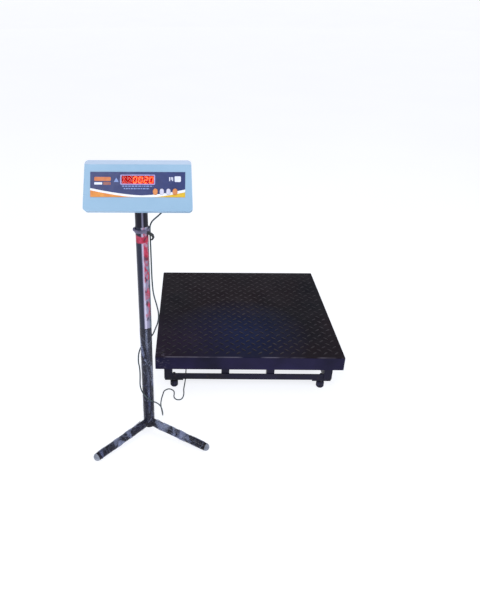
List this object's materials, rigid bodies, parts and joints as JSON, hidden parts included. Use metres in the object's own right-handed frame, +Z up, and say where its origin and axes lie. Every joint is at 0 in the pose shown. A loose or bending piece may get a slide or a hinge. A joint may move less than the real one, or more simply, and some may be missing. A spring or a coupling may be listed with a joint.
{
  "type": "pallet scale",
  "caption": "Low square platform scale with lugged steel deck on load cells, cabled to a tilting display head on a tripod pole stand.",
  "frame": {"origin": "on the floor, under the middle of the bounding box of platform and stand together", "axes": "+Z up, +X to the right as the user reads the display, +Y away from the user"},
  "size_m": [1.0095, 1.2173, 1.098],
  "materials": {
    "deck_paint": "worn near-black paint",
    "frame_paint": "satin black paint",
    "cell_steel": "nickel plated",
    "fastener_zinc": "zinc plated",
    "pad_rubber": "matt",
    "foot_rubber": "matt black",
    "box_grey": "light texture",
    "gland_black": "matt",
    "board_green": "solder mask",
    "cable_jacket": "satin dark jacket",
    "pole_paint": "black paint under crinkled clear film",
    "leg_cap": "grey, under clear film",
    "sleeve_print": "printed protective film",
    "strap_black": "satin",
    "bracket_paint": "satin black paint",
    "knob_black": "fine texture",
    "housing_blue": "light satin",
    "panel_print": "printed film",
    "window_red": "clear red",
    "digit_red": "lit segments",
    "switch_black": "matt",
    "battery_case": "matt",
    "key_orange": "satin",
    "key_white": "satin"
  },
  "bodies": {
    "base": {"base_rails": "frame_paint", "base_cross_member": "frame_paint", "corner_posts": "frame_paint", "stop_posts": "frame_paint", "stop_bolts": "fastener_zinc", "cell_plates": "frame_paint", "load_cells": "cell_steel", "cell_bolts": "fastener_zinc", "load_buttons": "cell_steel", "load_pads": "pad_rubber", "foot_plates": "frame_paint", "foot_nuts": "fastener_zinc", "junction_box": "box_grey", "junction_lid": "box_grey", "junction_screws": "fastener_zinc", "junction_board": "board_green", "junction_glands": "gland_black", "cell_cables": "cable_jacket", "cable_clips": "gland_black", "pole": "pole_paint", "leg_left": "pole_paint", "leg_right": "pole_paint", "leg_back": "pole_paint", "leg_caps": "leg_cap", "pole_sleeve": "sleeve_print", "cable_strap": "strap_black", "pole_cap": "bracket_paint", "signal_cable": "cable_jacket", "signal_cable_upper": "cable_jacket"},
    "deck": {"deck_plate": "deck_paint", "deck_rails": "frame_paint", "deck_cross_beams": "frame_paint", "load_cups": "frame_paint"},
    "head": {"head_bracket": "bracket_paint", "bracket_screws": "fastener_zinc", "tilt_bolt": "fastener_zinc", "front_shell": "housing_blue", "rear_shell": "housing_blue", "housing_screws": "fastener_zinc", "panel_overlay": "panel_print", "display_window": "window_red", "front_board": "board_green", "display_digits": "digit_red", "key_switches": "switch_black", "main_board": "board_green", "battery": "battery_case", "rocker_housing": "switch_black", "power_inlet": "switch_black", "cable_gland": "gland_black"},
    "tilt_knob": {"tilt_knob": "knob_black"},
    "power_rocker": {"power_rocker": "switch_black"},
    "foot_front_left": {"foot_front_left": "foot_rubber"},
    "foot_front_right": {"foot_front_right": "foot_rubber"},
    "foot_back_left": {"foot_back_left": "foot_rubber"},
    "foot_back_right": {"foot_back_right": "foot_rubber"},
    "key_zero": {"key_zero": "key_orange"},
    "key_tare": {"key_tare": "key_white"},
    "key_mode": {"key_mode": "key_white"},
    "key_print": {"key_print": "key_orange"}
  },
  "joints": [
    {"name": "deck_press", "type": "slide", "parent": "base", "child": "deck", "axis": [0, 0, 1], "range_m": [-0.0015, 0], "stiffness_N_per_m": 3300000, "springref_m": 0.0001, "deforming": ["load_pads"]},
    {"name": "head_tilt", "type": "hinge", "parent": "base", "child": "head", "pos_m": [-0.30725, -0.42934, 0.971], "axis": [1, 0, 0], "range_deg": [-20, 25], "deforming": ["signal_cable_upper"]},
    {"name": "knob_turn", "type": "hinge", "parent": "head", "child": "tilt_knob", "pos_m": [-0.28725, -0.42934, 0.971], "axis": [1, 0, 0], "range_deg": [0, 360]},
    {"name": "rocker_press", "type": "hinge", "parent": "head", "child": "power_rocker", "pos_m": [-0.41725, -0.43566, 0.99532], "axis": [1, 0, 0], "range_deg": [-20, 0]},
    {"name": "level_front_left", "type": "slide", "parent": "base", "child": "foot_front_left", "axis": [0, 0, -1], "range_m": [0, 0.012]},
    {"name": "level_front_right", "type": "slide", "parent": "base", "child": "foot_front_right", "axis": [0, 0, -1], "range_m": [0, 0.012]},
    {"name": "level_back_left", "type": "slide", "parent": "base", "child": "foot_back_left", "axis": [0, 0, -1], "range_m": [0, 0.012]},
    {"name": "level_back_right", "type": "slide", "parent": "base", "child": "foot_back_right", "axis": [0, 0, -1], "range_m": [0, 0.012]},
    {"name": "press_zero", "type": "slide", "parent": "head", "child": "key_zero", "axis": [0, 0.8829, -0.4695], "range_m": [0, 0.0007], "stiffness_N_per_m": 1500, "springref_m": -0.0003},
    {"name": "press_tare", "type": "slide", "parent": "head", "child": "key_tare", "axis": [0, 0.8829, -0.4695], "range_m": [0, 0.0007], "stiffness_N_per_m": 1500, "springref_m": -0.0003},
    {"name": "press_mode", "type": "slide", "parent": "head", "child": "key_mode", "axis": [0, 0.8829, -0.4695], "range_m": [0, 0.0007], "stiffness_N_per_m": 1500, "springref_m": -0.0003},
    {"name": "press_print", "type": "slide", "parent": "head", "child": "key_print", "axis": [0, 0.8829, -0.4695], "range_m": [0, 0.0007], "stiffness_N_per_m": 1500, "springref_m": -0.0003}
  ]
}
